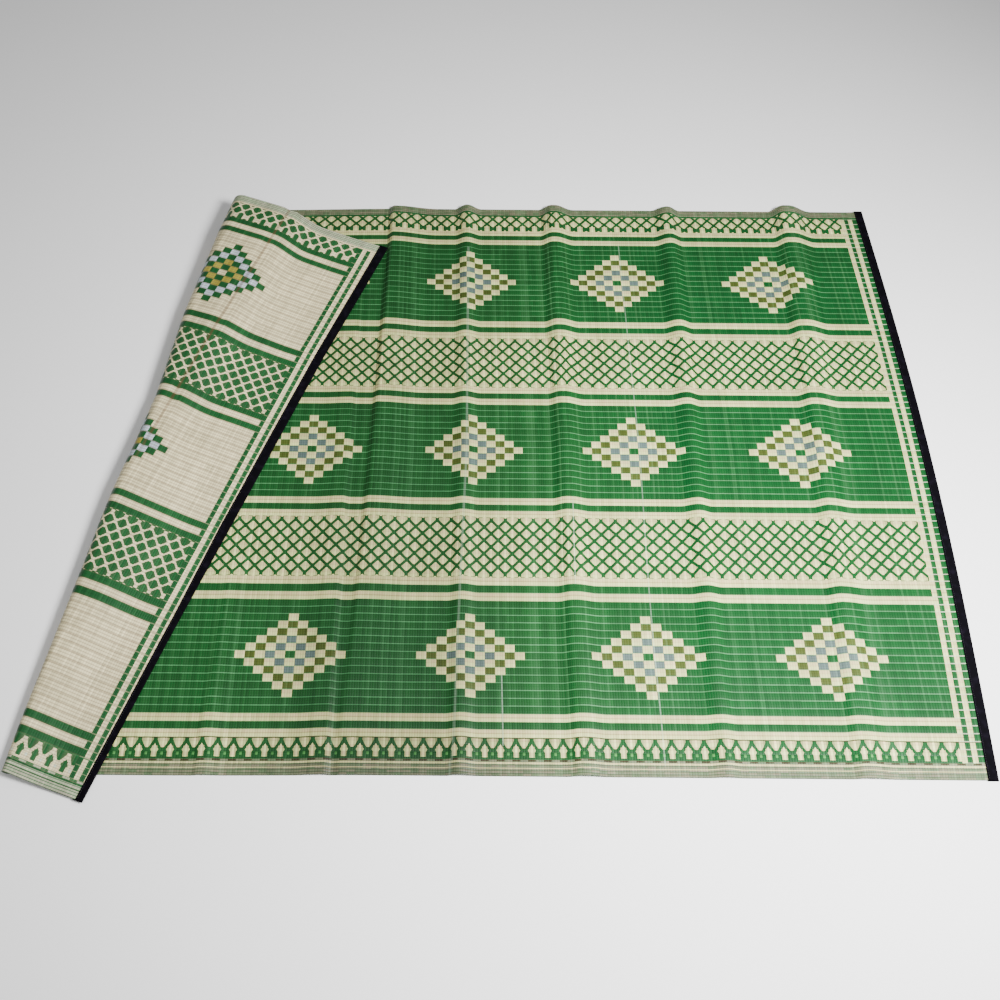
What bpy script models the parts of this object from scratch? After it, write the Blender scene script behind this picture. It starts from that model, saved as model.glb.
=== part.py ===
"""Woven plastic floor mat, spread flat with its left end folded back over itself.

Units are metres, +Z is up, +X runs along the mat and +Y to its far side.
Two flat measures follow the cloth: "along" counts from the left end of the
woven length, and "across" counts from the near selvedge. Where the mat lies
unfolded they are also its X and Y before the whole is centred on its base.
"""
from collections import namedtuple
import math

import bmesh
import bpy
import numpy as np

# The woven cloth, laid out flat: the bound ends, where the field of the left end begins,
# and how the left end was cut a little askew
WIDTH = 1.4892
RIGHT_END = 2.003
FIELD_LEFT = 0.086
SHEET = 0.002
CUT_ACROSS, CUT_END = (0.0, 0.40, 0.7159, 1.4892), (0.044, 0.038, 0.034, 0.025)

# The tape that is folded over each cut end
TAPE = 0.0007
TAPE_WIDTH = 0.019
TAPE_GAP = 0.0003
TAPE_OVERHANG = 0.0015
TAPE_REACH = SHEET / 2 + TAPE_GAP + TAPE / 2
UPPER_LEG_ACROSS, UPPER_LEG = (0.40, 0.62), (0.0130, 0.0190)

# The fold: the end's border line lies turned by twice the angle of the fold
FOLD_ANGLE = math.radians(9.445)
BORDER_TURN = 2 * FOLD_ANGLE
BORDER_FOOT = np.array([0.3252, 0.0755])
BORDER_FOOT_ACROSS = 0.1236
OLD_CREASE = 0.196
OLD_CREASE_DEPTH = 0.005
OLD_CREASE_REACH = 0.008
OLD_CREASE_FROM, OLD_CREASE_FULL = 0.60, 0.80

# Shape of the folded end, from the near selvedge to the far one: how far the border line
# lies shifted to the right, how high the bound edge lies, the slope in degrees beside the
# edge, on the lap, on the rise and on top, and how far from the border it turns under
FlapLine = namedtuple("FlapLine", "across shift edge_height edge lap rise top turn")
FLAP_LINES = (
    FlapLine(0.0000, 0.010, 0.0058, 3, 9, 4, 0, 0.110),
    FlapLine(0.1236, 0.008, 0.0065, 5, 11, 4, 0, 0.124),
    FlapLine(0.3774, 0.004, 0.0065, 7, 14, 4, 0, 0.154),
    FlapLine(0.6207, 0.004, 0.0065, 7, 12, 13, 0, 0.185),
    FlapLine(0.8745, 0.003, 0.0065, 7, 5, 20, 0, 0.217),
    FlapLine(0.9962, 0.003, 0.0068, 6, 7, 21, 0, 0.240),
    FlapLine(1.1178, 0.003, 0.0070, 4, 9, 22, 0, 0.264),
    FlapLine(1.3716, 0.010, 0.0080, 4, 7, 29, 3, 0.299),
    FlapLine(1.4892, 0.013, 0.0090, 4, 6, 28, 3, 0.314),
)
EDGE_ZONE_END = 0.020
LAP_START, LAP_END = 0.050, 0.100
RISE_START, RISE_END = 0.135, 0.175
TOP_START = 0.200

# How far the cloth lies shifted along the mat, the bulge of its right end, and how
# far its front edge sags towards the fold
DRIFT_ACROSS = (0.0, 0.25, 0.745, 1.245, 1.489)
DRIFT = (-0.006, -0.005, 0.0055, 0.0005, -0.001)
DRIFT_END, DRIFT_EASE = 1.80, 0.20
BULGE = 0.022
BULGE_FROM, BULGE_FULL = 1.690, 1.950
SAG = 0.004
SAG_ALONG, SAG_ALONG_EASE = 0.95, 0.50
SAG_ACROSS, SAG_ACROSS_EASE = 0.35, 0.30

# Ridges left in the lower layer by the way the mat was folded for storage: where the
# crest runs, how high it stands, and how wide its left side, crown and right side are
Ridge = namedtuple("Ridge", "near_x middle_x far_x near middle behind far "
                            "left crown crown_behind right")
RIDGES = (
    Ridge(0.540, 0.560, 0.560, 0.0040, 0.0000, 0.0000, 0.0000, 0.018, 0.004, 0.004, 0.040),
    Ridge(0.764, 0.766, 0.774, 0.0050, 0.0050, 0.0000, 0.0000, 0.060, 0.002, 0.002, 0.016),
    Ridge(0.800, 0.824, 0.850, 0.0020, 0.0070, 0.0120, 0.0110, 0.016, 0.004, 0.004, 0.100),
    Ridge(1.013, 1.018, 1.026, 0.0070, 0.0070, 0.0100, 0.0160, 0.026, 0.004, 0.004, 0.034),
    Ridge(1.242, 1.236, 1.235, 0.0075, 0.0095, 0.0135, 0.0170, 0.028, 0.010, 0.010, 0.044),
    Ridge(1.506, 1.510, 1.517, 0.0060, 0.0095, 0.0125, 0.0150, 0.034, 0.004, 0.006, 0.030),
    Ridge(1.764, 1.782, 1.803, 0.0070, 0.0110, 0.0180, 0.0220, 0.030, 0.004, 0.016, 0.056),
)
NEAR_ACROSS, MIDDLE_ACROSS, BEHIND_ACROSS = 0.10, 0.60, 1.38
CROWN_FULL_ACROSS = 1.10
EDGE_LIFT_REACH = 0.040

# How finely the curved sheet is divided
LINES_ACROSS = 25
END_CROWDING = 0.4
PROFILE_STEPS = 240
TAPED_STEPS, LAP_STEPS, TOP_STEPS, TURN_STEPS = 2, 9, 4, 12
RIDGE_STEPS = (2, 2, 1, 3)
LEAST_STATION_STEP = 0.003
TAPE_BEND_ANGLES = (-45, 0, 45)

PLASTIC_GREEN, PLASTIC_ROUGHNESS = (0.035, 0.25, 0.07, 1.0), 0.42
TAPE_BLACK, TAPE_ROUGHNESS = (0.012, 0.010, 0.014, 1.0), 0.6


def smooth(value):
    """Ease from 0 to 1 as the value goes from 0 to 1"""
    value = np.clip(value, 0.0, 1.0)
    return value * value * (3 - 2 * value)


def left_end(across):
    return np.interp(across, CUT_ACROSS, CUT_END)


def flap_value(column, across):
    return np.interp(across, [line.across for line in FLAP_LINES],
                     [getattr(line, column) for line in FLAP_LINES])


def flap_slope(distance, across):
    """Slope of the folded end, by its distance from the border line"""
    names = ("edge", "lap", "lap", "rise", "rise", "top")
    places = (EDGE_ZONE_END, LAP_START, LAP_END, RISE_START, RISE_END, TOP_START)
    return np.radians(np.interp(distance, places, [flap_value(name, across) for name in names]))


def crest_of(ridge, across):
    return np.interp(across, (NEAR_ACROSS, MIDDLE_ACROSS, BEHIND_ACROSS),
                     (ridge.near_x, ridge.middle_x, ridge.far_x))


def crown_of(ridge, across):
    return np.interp(across, (MIDDLE_ACROSS, CROWN_FULL_ACROSS), (ridge.crown, ridge.crown_behind))


def lower_height(x, across):
    """Height of the lower layer's middle surface over the floor"""
    height = np.full_like(x, SHEET / 2)
    for ridge in RIDGES:
        crest = crest_of(ridge, across)
        top = np.interp(across, (NEAR_ACROSS, MIDDLE_ACROSS, BEHIND_ACROSS, WIDTH),
                        (ridge.near, ridge.middle, ridge.behind, ridge.far))
        left_side = smooth((x - crest + ridge.left) / ridge.left)
        right_side = 1 - smooth((x - crest - crown_of(ridge, across)) / ridge.right)
        height += top * np.minimum(left_side, right_side)
    return height


def ground_place(along, across):
    """X and Y of the lower layer where it lies in sight"""
    drift = np.interp(across, DRIFT_ACROSS, DRIFT)
    bulge = BULGE * math.sin(math.pi * min(max(across / WIDTH, 0), 1))
    x = along + drift * (1 - smooth((along - DRIFT_END) / DRIFT_EASE))
    x = x + bulge * smooth((along - BULGE_FROM) / (BULGE_FULL - BULGE_FROM))
    sag = SAG * smooth((SAG_ALONG - along) / SAG_ALONG_EASE)
    return x, across - sag * smooth((SAG_ACROSS - across) / SAG_ACROSS_EASE)


class RowCurve:
    """One line along the mat: the folded end, the turn and the lower layer"""

    def __init__(self, across):
        self.across = across
        self.axis = np.array([math.sin(FOLD_ANGLE), math.cos(FOLD_ANGLE)])
        self.inward = np.array([math.cos(FOLD_ANGLE), -math.sin(FOLD_ANGLE)])
        direction = np.array([math.sin(BORDER_TURN), math.cos(BORDER_TURN)])
        sideways = np.array([math.cos(BORDER_TURN), -math.sin(BORDER_TURN)])
        self.border = (BORDER_FOOT + direction * (across - BORDER_FOOT_ACROSS)
                       + sideways * flap_value("shift", across))
        self.turn = flap_value("turn", across)
        edge = left_end(across) - FIELD_LEFT
        self.distances = np.linspace(edge, self.turn, PROFILE_STEPS)
        slopes = flap_slope(self.distances, across)
        steps = np.diff(self.distances) * math.cos(FOLD_ANGLE)
        middle = (slopes[1:] + slopes[:-1]) / 2
        runs = np.concatenate([[0], np.cumsum(np.cos(middle) * steps)])
        self.runs = runs - np.interp(0, self.distances, runs)
        rises = np.concatenate([[0], np.cumsum(np.sin(middle) * steps)])
        self.heights = flap_value("edge_height", across) + rises
        self.last_slope = slopes[-1]
        drop = self.heights[-1] - SHEET / 2
        self.radius = drop / (1 + math.cos(self.last_slope))
        self.turn_length = self.radius * (math.pi + self.last_slope) / math.cos(FOLD_ANGLE)
        self.landing = FIELD_LEFT + self.turn + self.turn_length

    def folded_end(self, distance):
        run = np.interp(distance, self.distances, self.runs)
        height = np.interp(distance, self.distances, self.heights)
        groove = smooth((self.across - OLD_CREASE_FROM) / (OLD_CREASE_FULL - OLD_CREASE_FROM))
        groove *= np.exp(-((distance - OLD_CREASE) / OLD_CREASE_REACH) ** 2)
        return self.place(distance, run, height - OLD_CREASE_DEPTH * groove)

    def turned(self, distance):
        turned_by = (distance - self.turn) * math.cos(FOLD_ANGLE) / self.radius
        angle = self.last_slope - turned_by
        run = self.runs[-1] + self.radius * (math.sin(self.last_slope) - np.sin(angle))
        height = self.heights[-1] + self.radius * (np.cos(angle) - math.cos(self.last_slope))
        return self.place(distance, run, height)

    def place(self, distance, run, height):
        flat = (self.border + np.outer(distance, self.axis) * math.sin(FOLD_ANGLE)
                - np.outer(run, self.inward))
        return np.column_stack([flat, height])

    def lower(self, along):
        """The lower layer eases from where the turn lands to its unfolded place,
        which it has reached where the bound edge leaves it in sight"""
        landed = self.turned(np.array([self.turn + self.turn_length]))[0]
        tip = self.folded_end(np.array([left_end(self.across) - FIELD_LEFT]))[0]
        in_sight = tip[0] + (self.across - tip[1]) * math.tan(BORDER_TURN)
        ease = 1 - smooth((along - self.landing) / (in_sight - self.landing))
        free_x, free_y = ground_place(along, self.across)
        landing_x, landing_y = ground_place(self.landing, self.across)
        x = free_x + (landed[0] - landing_x) * ease
        y = free_y + (landed[1] - landing_y) * ease
        lift = smooth((along - RIGHT_END + EDGE_LIFT_REACH) / (EDGE_LIFT_REACH - TAPE_WIDTH))
        height = lower_height(x, self.across) + (TAPE + TAPE_GAP) * lift
        return np.column_stack([x, y, height])

    def points(self, along):
        along = np.asarray(along, dtype=float)
        distance = along - FIELD_LEFT
        result = np.empty((len(along), 3))
        on_end = distance <= self.turn
        on_floor = along >= self.landing
        on_turn = ~on_end & ~on_floor
        result[on_end] = self.folded_end(distance[on_end])
        result[on_turn] = self.turned(distance[on_turn])
        result[on_floor] = self.lower(along[on_floor])
        return result


def line_places():
    """Places across the mat, closer together near the selvedges"""
    even = np.linspace(0, 1, LINES_ACROSS)
    crowded = 0.5 - 0.5 * np.cos(math.pi * even)
    return WIDTH * (even + END_CROWDING * (crowded - even))


def panel_stations(curve):
    """Places along one line, following the fold and each ridge"""
    across = curve.across
    start = left_end(across) + TAPE + TAPE_GAP
    turn = FIELD_LEFT + curve.turn
    knee = min(FIELD_LEFT + OLD_CREASE, turn - EDGE_ZONE_END)
    marks = [(left_end(across) + TAPE_WIDTH, TAPED_STEPS), (knee, LAP_STEPS),
             (turn, TOP_STEPS), (curve.landing, TURN_STEPS)]
    for ridge in RIDGES:
        crest = crest_of(ridge, across)
        crest = 2 * crest - ground_place(crest, across)[0]
        crown = crest + crown_of(ridge, across)
        ends = (crest - ridge.left, crest, crown, crown + ridge.right)
        marks += list(zip(ends, RIDGE_STEPS))
    marks += [(RIGHT_END - TAPE_WIDTH, TAPED_STEPS), (RIGHT_END - TAPE - TAPE_GAP, TAPED_STEPS)]
    stations, reached = [np.array([start])], start
    for end, steps in marks:
        end = max(end, reached + steps * LEAST_STATION_STEP)
        stations.append(np.linspace(reached, end, steps + 1)[1:])
        reached = end
    return np.concatenate(stations)


def surface_mesh(name, grid):
    """An open surface through a grid of points, its top side facing up"""
    rows, columns = grid.shape[:2]
    mesh = bpy.data.meshes.new(name)
    builder = bmesh.new()
    bmesh.ops.create_grid(builder, x_segments=columns - 1, y_segments=rows - 1, size=0.5)
    builder.verts.ensure_lookup_table()
    for number, vertex in enumerate(builder.verts):
        vertex.co = grid[number // columns, number % columns]
    builder.to_mesh(mesh)
    builder.free()
    return mesh


def add_sheet(name, grid, thickness, material, collection, parent):
    thing = bpy.data.objects.new(name, surface_mesh(name, grid))
    thing.data.materials.append(material)
    thing.data.shade_smooth()
    collection.objects.link(thing)
    thing.parent = parent
    shell = thing.modifiers.new("thickness", "SOLIDIFY")
    shell.thickness = thickness
    shell.offset = 0
    shell.use_even_offset = True
    return thing


def plastic(name, colour, roughness):
    material = bpy.data.materials.new(name)
    material.use_nodes = True
    shader = material.node_tree.nodes["Principled BSDF"]
    shader.inputs["Base Color"].default_value = colour
    shader.inputs["Roughness"].default_value = roughness
    shader.inputs["Metallic"].default_value = 0.0
    return material


def unit(vectors):
    return vectors / np.linalg.norm(vectors, axis=-1, keepdims=True)


def leg_points(places, inner, outer):
    """Three points along each line under one leg of a tape, ending at the cut end"""
    return np.array([RowCurve(across).points(np.linspace(inner(across), outer(across), 3))
                     for across in places])


def tape_grid(places, under, over, outer):
    """Surface of a tape folded round a cut end, from its lower leg to its upper one"""
    lower, upper = leg_points(places, under, outer), leg_points(places, over, outer)
    end = lower[:, 2]
    outwards = unit(end - lower[:, 1])
    upwards = unit(np.cross(outwards, np.gradient(end, axis=0)))
    upwards *= np.sign(upwards[:, 2:])
    reach = TAPE_REACH * upwards
    section = [lower[:, number] - reach for number in (0, 1, 2)]
    for angle in np.radians(TAPE_BEND_ANGLES):
        section.append(end + TAPE_REACH * (math.cos(angle) * outwards + math.sin(angle) * upwards))
    section += [upper[:, number] + reach for number in (2, 1, 0)]
    return np.stack(section, axis=1)


def right_inner(across):
    return RIGHT_END - TAPE_WIDTH


def left_under(across):
    return left_end(across) + TAPE_WIDTH


def left_over(across):
    return left_end(across) + np.interp(across, UPPER_LEG_ACROSS, UPPER_LEG)


def centre_on_base(things, carrier):
    """Move the carrier so that the whole stands centred over the origin"""
    bpy.context.view_layer.update()
    graph = bpy.context.evaluated_depsgraph_get()
    corners = []
    for thing in things:
        mesh = thing.evaluated_get(graph).data
        points = np.empty(len(mesh.vertices) * 3)
        mesh.vertices.foreach_get("co", points)
        points = points.reshape(-1, 3)
        corners += [points.min(axis=0), points.max(axis=0)]
    low, high = np.min(corners, axis=0), np.max(corners, axis=0)
    carrier.location = (-(low[0] + high[0]) / 2, -(low[1] + high[1]) / 2, -low[2])


def build():
    for thing in list(bpy.data.objects):
        bpy.data.objects.remove(thing)
    collection = bpy.data.collections.new("woven_plastic_mat")
    bpy.context.scene.collection.children.link(collection)
    carrier = bpy.data.objects.new("base_centre", None)
    collection.objects.link(carrier)

    places = line_places()
    curves = [RowCurve(across) for across in places]
    panel_grid = np.array([curve.points(panel_stations(curve)) for curve in curves])
    tape_places = places.copy()
    tape_places[0] -= TAPE_OVERHANG
    tape_places[-1] += TAPE_OVERHANG
    cut_inset = TAPE + TAPE_GAP
    right = tape_grid(tape_places, right_inner, right_inner,
                      lambda across: RIGHT_END - cut_inset)
    left = tape_grid(tape_places, left_under, left_over,
                     lambda across: left_end(across) + cut_inset)

    woven = plastic("woven_plastic", PLASTIC_GREEN, PLASTIC_ROUGHNESS)
    tape = plastic("edge_tape", TAPE_BLACK, TAPE_ROUGHNESS)
    things = [
        add_sheet("mat_panel", panel_grid, SHEET, woven, collection, carrier),
        add_sheet("binding_right", right, TAPE, tape, collection, carrier),
        add_sheet("binding_left", left, TAPE, tape, collection, carrier),
    ]
    centre_on_base(things, carrier)


build()
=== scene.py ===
"""The looks of a woven plastic floor mat with its left end folded back over itself."""
import math
from collections import namedtuple

import bpy
import numpy as np
from mathutils import Matrix, Vector


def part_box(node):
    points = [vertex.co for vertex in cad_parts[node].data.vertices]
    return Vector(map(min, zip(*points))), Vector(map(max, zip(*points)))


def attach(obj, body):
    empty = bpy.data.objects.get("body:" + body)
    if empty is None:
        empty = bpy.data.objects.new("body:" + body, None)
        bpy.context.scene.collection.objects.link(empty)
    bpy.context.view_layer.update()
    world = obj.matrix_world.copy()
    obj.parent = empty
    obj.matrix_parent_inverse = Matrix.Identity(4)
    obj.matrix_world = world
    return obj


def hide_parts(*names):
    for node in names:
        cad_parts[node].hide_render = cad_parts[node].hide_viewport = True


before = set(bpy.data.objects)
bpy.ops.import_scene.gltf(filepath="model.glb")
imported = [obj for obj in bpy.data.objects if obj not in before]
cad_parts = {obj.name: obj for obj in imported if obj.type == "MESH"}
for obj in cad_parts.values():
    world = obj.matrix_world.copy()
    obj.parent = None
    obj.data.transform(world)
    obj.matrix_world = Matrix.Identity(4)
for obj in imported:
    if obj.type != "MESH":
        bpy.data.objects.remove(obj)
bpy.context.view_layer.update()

# Camera: it stands in front of the near selvedge, left of the middle, and looks
# down across the whole mat. The focal length and the shift give the photo's framing.
CAMERA_PLACE = (-0.1047, -1.6842, 2.2866)
CAMERA_LOOKS_DOWN = 55.28
CAMERA_TURN = 0.131
CAMERA_ROLL = 0.38
SENSOR_WIDTH = 36.0
FOCAL_LENGTH = 47.74
CAMERA_SHIFT = 0.0495


def put_in_scene(name, data):
    thing = bpy.data.objects.new(name, data)
    bpy.context.scene.collection.objects.link(thing)
    return thing


lens = bpy.data.cameras.new("camera")
lens.sensor_width = SENSOR_WIDTH
lens.lens = FOCAL_LENGTH
lens.shift_x = CAMERA_SHIFT
camera = put_in_scene("camera", lens)
camera.matrix_world = (Matrix.Translation(CAMERA_PLACE)
                       @ Matrix.Rotation(math.radians(CAMERA_TURN), 4, "Z")
                       @ Matrix.Rotation(math.radians(90 - CAMERA_LOOKS_DOWN), 4, "X")
                       @ Matrix.Rotation(math.radians(CAMERA_ROLL), 4, "Z"))
bpy.context.scene.camera = camera


# The woven panel: one length of plastic straw laid side by side across the mat and
# held by warp threads, so that each straw is pinched once a row. Its left end is
# folded back at a slant, and old storage folds still stand up as ridges.
STRAW, SHEET = 0.00486, 0.002
RIB_DEPTH, RIB_STEPS = 0.00035, 3
RIGHT_END = 2.003
FIELD_LEFT, FIELD_RIGHT = 0.086, 1.944
FIRST_ROW, FIRST_BODY_ROW, END_BODY_ROW, LAST_ROW = -4, 5, 86, 94
# Rows by number, and how far across the mat each starts, from the near selvedge
MARKED_ROWS, MARKED_ACROSS = zip(
    (-4, 0.0), (2, 0.0332), (4, 0.0603), (5, 0.0763), (8, 0.1244), (23, 0.3710), (26, 0.4253),
    (35, 0.5713), (38, 0.6200), (53, 0.8713), (56, 0.9201), (65, 1.0661), (68, 1.1178),
    (83, 1.3668), (86, 1.4130), (89, 1.4630), (94, 1.4892))
WIDTH = MARKED_ACROSS[-1]

# The fold: its slant, the border line of the folded end, the old crease and the cut end
FOLD_ANGLE = math.radians(9.445)
FOLD_AXIS = np.array([math.sin(FOLD_ANGLE), math.cos(FOLD_ANGLE)])
FOLD_INWARD = np.array([math.cos(FOLD_ANGLE), -math.sin(FOLD_ANGLE)])
BORDER_TURN = 2 * FOLD_ANGLE
BORDER_FOOT = np.array([0.3252, 0.0755])
BORDER_FOOT_ACROSS = 0.1236
OLD_CREASE, OLD_CREASE_DEPTH, OLD_CREASE_REACH = 0.196, 0.005, 0.008
OLD_CREASE_FROM, OLD_CREASE_FULL = 0.60, 0.80
CUT_ACROSS, CUT_END = (0.0, 0.40, 0.7159, 1.4892), (0.044, 0.038, 0.034, 0.025)

# Shape of the folded end across the mat: shift of its border line, height of its bound
# edge, slopes in degrees beside the edge, on the lap, on the rise and on top, turn's start
FlapLine = namedtuple("FlapLine", "across shift edge_height edge lap rise top turn")
FLAP_LINES = (
    FlapLine(0.0000, 0.010, 0.0058, 3, 9, 4, 0, 0.110),
    FlapLine(0.1236, 0.008, 0.0065, 5, 11, 4, 0, 0.124),
    FlapLine(0.3774, 0.004, 0.0065, 7, 14, 4, 0, 0.154),
    FlapLine(0.6207, 0.004, 0.0065, 7, 12, 13, 0, 0.185),
    FlapLine(0.8745, 0.003, 0.0065, 7, 5, 20, 0, 0.217),
    FlapLine(0.9962, 0.003, 0.0068, 6, 7, 21, 0, 0.240),
    FlapLine(1.1178, 0.003, 0.0070, 4, 9, 22, 0, 0.264),
    FlapLine(1.3716, 0.010, 0.0080, 4, 7, 29, 3, 0.299),
    FlapLine(1.4892, 0.013, 0.0090, 4, 6, 28, 3, 0.314),
)
EDGE_ZONE_END, LAP_START, LAP_END = 0.020, 0.050, 0.100
RISE_START, RISE_END, TOP_START = 0.135, 0.175, 0.200
PROFILE_STEPS = 240

# The lower layer: drift of the rows along the mat, bulge of the right end, sag of the
# front edge, and the ridges with their crest's line, height, and widths of their sides
DRIFT_ACROSS = (0.0, 0.25, 0.745, 1.245, 1.489)
DRIFT = (-0.006, -0.005, 0.0055, 0.0005, -0.001)
DRIFT_END, DRIFT_EASE = 1.80, 0.20
BULGE, BULGE_FROM, BULGE_FULL = 0.022, 1.690, 1.950
SAG, SAG_ALONG, SAG_ALONG_EASE, SAG_ACROSS, SAG_ACROSS_EASE = 0.004, 0.95, 0.50, 0.35, 0.30
Ridge = namedtuple("Ridge", "near_x middle_x far_x near middle behind far "
                            "left crown crown_behind right")
RIDGES = (
    Ridge(0.540, 0.560, 0.560, 0.0040, 0.0000, 0.0000, 0.0000, 0.018, 0.004, 0.004, 0.040),
    Ridge(0.764, 0.766, 0.774, 0.0050, 0.0050, 0.0000, 0.0000, 0.060, 0.002, 0.002, 0.016),
    Ridge(0.800, 0.824, 0.850, 0.0020, 0.0070, 0.0120, 0.0110, 0.016, 0.004, 0.004, 0.100),
    Ridge(1.013, 1.018, 1.026, 0.0070, 0.0070, 0.0100, 0.0160, 0.026, 0.004, 0.004, 0.034),
    Ridge(1.242, 1.236, 1.235, 0.0075, 0.0095, 0.0135, 0.0170, 0.028, 0.010, 0.010, 0.044),
    Ridge(1.506, 1.510, 1.517, 0.0060, 0.0095, 0.0125, 0.0150, 0.034, 0.004, 0.006, 0.030),
    Ridge(1.764, 1.782, 1.803, 0.0070, 0.0110, 0.0180, 0.0220, 0.030, 0.004, 0.016, 0.056),
)
NEAR_ACROSS, MIDDLE_ACROSS, CROWN_FULL_ACROSS, BEHIND_ACROSS = 0.10, 0.60, 1.10, 1.38
# The tape lifts the panel a little at its right end
TAPE, TAPE_GAP, TAPE_WIDTH, EDGE_LIFT_REACH = 0.0007, 0.0003, 0.019, 0.040
TAPE_INSET = TAPE + TAPE_GAP
# Straws tucked out of sight at each sharp crease, and how the weave evens out between them
TUCKS_ALONG = (0.60, 1.008, 1.028, 1.228, 1.256, 1.40, 1.50, 1.765, 1.795, 1.88)
TUCKS_NEAR = (-0.3, -0.9, -0.3, -0.3, 1.1, 0.3, -0.5, -0.7, 0.0, 0.0)
TUCKS_FAR = (0.1, -0.3, 0.6, 0.8, 2.2, 1.4, 0.7, 0.1, 1.5, 2.4)
TUCKS_NEAR_ACROSS, TUCKS_FAR_ACROSS = 0.06, 0.50


def smooth(value):
    """Ease from 0 to 1 as the value goes from 0 to 1"""
    value = np.clip(value, 0.0, 1.0)
    return value * value * (3 - 2 * value)


def across_of(row):
    return np.interp(row, MARKED_ROWS, MARKED_ACROSS)


def row_of(across):
    return np.interp(across, MARKED_ACROSS, MARKED_ROWS)


def left_end(across):
    """Where the left end was cut, along the woven length"""
    return np.interp(across, CUT_ACROSS, CUT_END)


def straw_at(along, across):
    """Number of the straw at a place, counted from the left end of the woven length"""
    near, far = (np.interp(along, TUCKS_ALONG, tucks) for tucks in (TUCKS_NEAR, TUCKS_FAR))
    depth = smooth((across - TUCKS_NEAR_ACROSS) / (TUCKS_FAR_ACROSS - TUCKS_NEAR_ACROSS))
    return along / STRAW + near + (far - near) * depth


def flap_value(column, across):
    return np.interp(across, [line.across for line in FLAP_LINES],
                     [getattr(line, column) for line in FLAP_LINES])


def flap_slope(distance, across):
    """Slope of the folded end, by its distance from the border line"""
    names = ("edge", "lap", "lap", "rise", "rise", "top")
    places = (EDGE_ZONE_END, LAP_START, LAP_END, RISE_START, RISE_END, TOP_START)
    return np.radians(np.interp(distance, places, [flap_value(name, across) for name in names]))


def crest_of(ridge, across):
    """X of a ridge's crest"""
    return np.interp(across, (NEAR_ACROSS, MIDDLE_ACROSS, BEHIND_ACROSS),
                     (ridge.near_x, ridge.middle_x, ridge.far_x))


def crown_of(ridge, across):
    """Width of a ridge's flat crown"""
    return np.interp(across, (MIDDLE_ACROSS, CROWN_FULL_ACROSS), (ridge.crown, ridge.crown_behind))


def lower_height(x, across):
    """Height of the lower layer's middle surface over the floor"""
    height = np.full_like(x, SHEET / 2)
    for ridge in RIDGES:
        crest = crest_of(ridge, across)
        top = np.interp(across, (NEAR_ACROSS, MIDDLE_ACROSS, BEHIND_ACROSS, WIDTH),
                        (ridge.near, ridge.middle, ridge.behind, ridge.far))
        left_side = smooth((x - crest + ridge.left) / ridge.left)
        right_side = 1 - smooth((x - crest - crown_of(ridge, across)) / ridge.right)
        height += top * np.minimum(left_side, right_side)
    return height


def ground_place(along, across):
    """X and Y of the lower layer where it lies in sight"""
    drift = np.interp(across, DRIFT_ACROSS, DRIFT)
    bulge = BULGE * math.sin(math.pi * min(max(across / WIDTH, 0), 1))
    x = along + drift * (1 - smooth((along - DRIFT_END) / DRIFT_EASE))
    x = x + bulge * smooth((along - BULGE_FROM) / (BULGE_FULL - BULGE_FROM))
    sag = SAG * smooth((SAG_ALONG - along) / SAG_ALONG_EASE)
    return x, across - sag * smooth((SAG_ACROSS - across) / SAG_ACROSS_EASE)


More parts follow.
